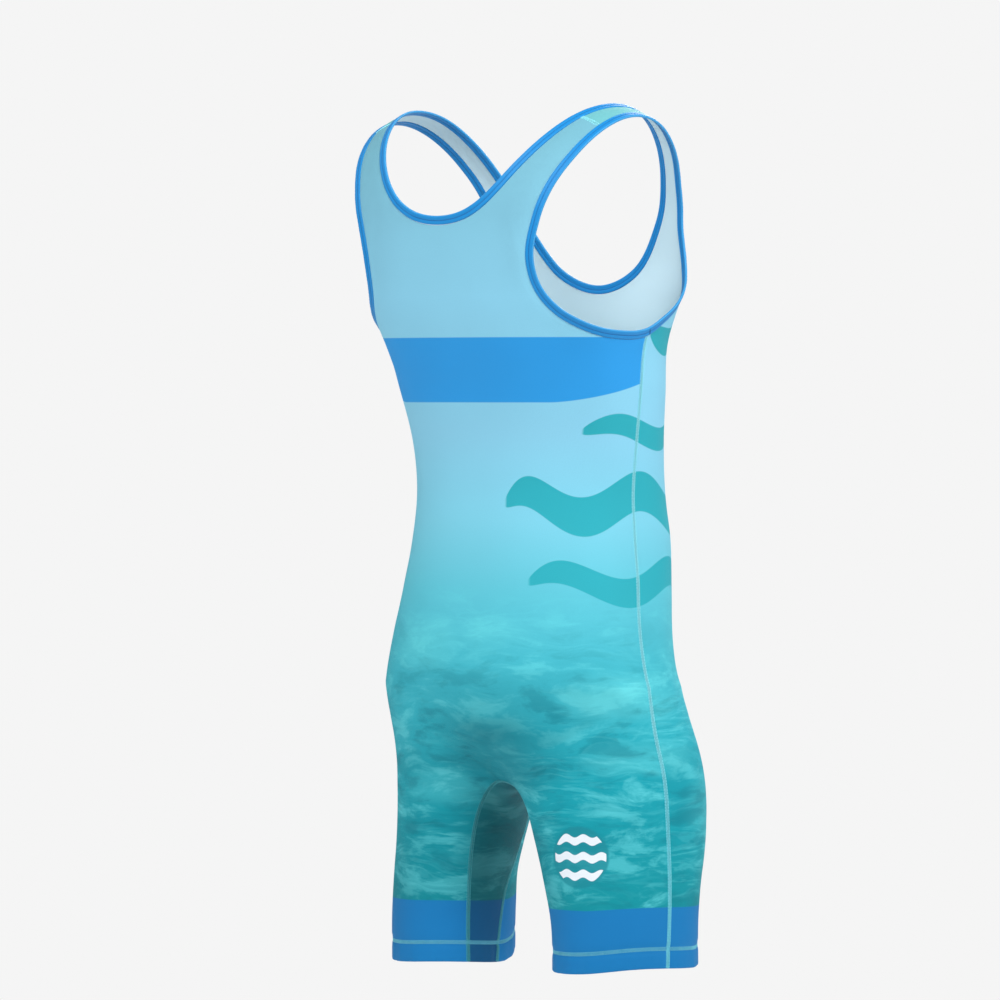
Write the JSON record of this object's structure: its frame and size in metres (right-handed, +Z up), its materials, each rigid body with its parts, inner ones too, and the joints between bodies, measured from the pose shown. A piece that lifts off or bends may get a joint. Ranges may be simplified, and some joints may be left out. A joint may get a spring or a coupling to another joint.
{
  "type": "wrestling singlet",
  "caption": "Sleeveless one-piece wrestling singlet with scoop neck, deep armholes, bound edges and mid-thigh legs, hollow and open as worn.",
  "frame": {"origin": "midway between the two shoulder straps, at the height where they rest on the shoulders", "axes": "+Z up, from the hems to the straps; +Y out of the wearer's back; +X to the wearer's left"},
  "size_m": [0.3912, 0.2516, 0.887],
  "materials": {
    "sky_print": "smooth stretch knit, printed, slight sheen",
    "lagoon_print": "smooth stretch knit, printed, slight sheen",
    "blue_tape": "folded stretch tape, satin"
  },
  "bodies": {
    "root": {"back_panel": "sky_print", "front_panel": "sky_print", "inner_leg_gusset": "lagoon_print", "neck_binding": "blue_tape", "armhole_binding_left": "blue_tape", "armhole_binding_right": "blue_tape"}
  },
  "joints": []
}
